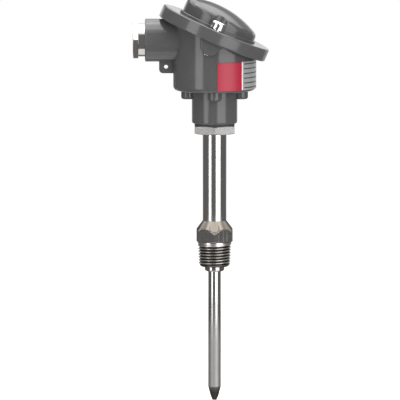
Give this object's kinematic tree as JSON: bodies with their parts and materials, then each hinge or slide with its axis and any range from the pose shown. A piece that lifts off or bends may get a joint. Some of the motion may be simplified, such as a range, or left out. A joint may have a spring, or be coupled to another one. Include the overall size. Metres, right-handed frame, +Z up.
{
  "type": "temperature sensor with connection head and thermowell",
  "caption": "Resistance temperature sensor: cast head with sloping domed lid and cable gland, neck tube, hexagon process fitting with taper thread, and slim thermowell with a tapered tip.",
  "frame": {"origin": "on the stem's axis at the underside of the process hexagon, where the taper thread begins", "axes": "+Z up the stem to the head, -X out of the cable entry, -Y the side with the label and one lid screw"},
  "size_m": [0.0847, 0.0716, 0.2529],
  "materials": {
    "head_paint": "semi-gloss grey coat on cast aluminium",
    "seal_rubber": "matt black rubber",
    "screw_steel": "bright plated steel",
    "nickel_plate": "nickel-plated brass",
    "label_film": "red and silver film",
    "gasket_fibre": "dark fibre ring",
    "zinc_plate": "dull zinc plate",
    "stem_steel": "polished stainless steel",
    "well_steel": "satin stainless steel",
    "plain_steel": "plain stainless steel",
    "terminal_ceramic": "unglazed white ceramic",
    "clamp_brass": "plain brass",
    "wire_copper": "bare copper"
  },
  "bodies": {
    "housing": {"head_body": "head_paint", "gland_seal": "seal_rubber", "label": "label_film", "head_gasket": "gasket_fibre", "neck_nipple": "zinc_plate", "neck_tube": "stem_steel", "process_fitting": "stem_steel", "well_tube": "well_steel", "well_tip": "well_steel", "insert_screws": "zinc_plate", "insert_springs": "plain_steel"},
    "lid": {"lid": "head_paint", "lid_seal": "seal_rubber"},
    "front_washer": {"lid_washer_front": "screw_steel"},
    "front_screw": {"lid_screw_front": "screw_steel"},
    "back_washer": {"lid_washer_back": "screw_steel"},
    "back_screw": {"lid_screw_back": "screw_steel"},
    "gland_ring": {"gland_washer": "nickel_plate"},
    "gland_nut": {"gland_screw": "nickel_plate"},
    "insert": {"insert_plate": "plain_steel", "insert_sheath": "plain_steel", "terminal_block": "terminal_ceramic", "terminal_clamps": "clamp_brass", "terminal_screws": "zinc_plate", "lead_wires": "wire_copper"}
  },
  "joints": [
    {"name": "lid_lift", "type": "slide", "parent": "housing", "child": "lid", "axis": [0.3987, 0, 0.9171], "range_m": [0, 0.03]},
    {"name": "front_screw_travel", "type": "slide", "parent": "lid", "child": "front_washer", "axis": [0.3987, 0, 0.9171], "range_m": [0, 0.008]},
    {"name": "front_screw_turn", "type": "hinge", "parent": "front_washer", "child": "front_screw", "pos_m": [0.0013, -0.0272, 0.1345], "axis": [0.3987, 0, 0.9171], "range_deg": [0, 3600]},
    {"name": "back_screw_travel", "type": "slide", "parent": "lid", "child": "back_washer", "axis": [0.3987, 0, 0.9171], "range_m": [0, 0.008]},
    {"name": "back_screw_turn", "type": "hinge", "parent": "back_washer", "child": "back_screw", "pos_m": [0.0013, 0.0272, 0.1345], "axis": [0.3987, 0, 0.9171], "range_deg": [0, 3600]},
    {"name": "gland_travel", "type": "slide", "parent": "housing", "child": "gland_ring", "axis": [-1, 0, 0], "range_m": [0, 0.003]},
    {"name": "gland_turn", "type": "hinge", "parent": "gland_ring", "child": "gland_nut", "pos_m": [-0.0434, 0, 0.1262], "axis": [-1, 0, 0], "range_deg": [0, 720]},
    {"name": "insert_travel", "type": "slide", "parent": "housing", "child": "insert", "axis": [0, 0, 1], "range_m": [0, 0.005], "stiffness_N_per_m": 4000, "springref_m": -0.004, "deforming": ["insert_springs"]}
  ],
  "couplings": [
    {"joint": "front_screw_turn", "follows": "front_screw_travel", "rad_per_m": 7854},
    {"joint": "back_screw_turn", "follows": "back_screw_travel", "rad_per_m": 7854},
    {"joint": "gland_turn", "follows": "gland_travel", "rad_per_m": 4188.8}
  ]
}
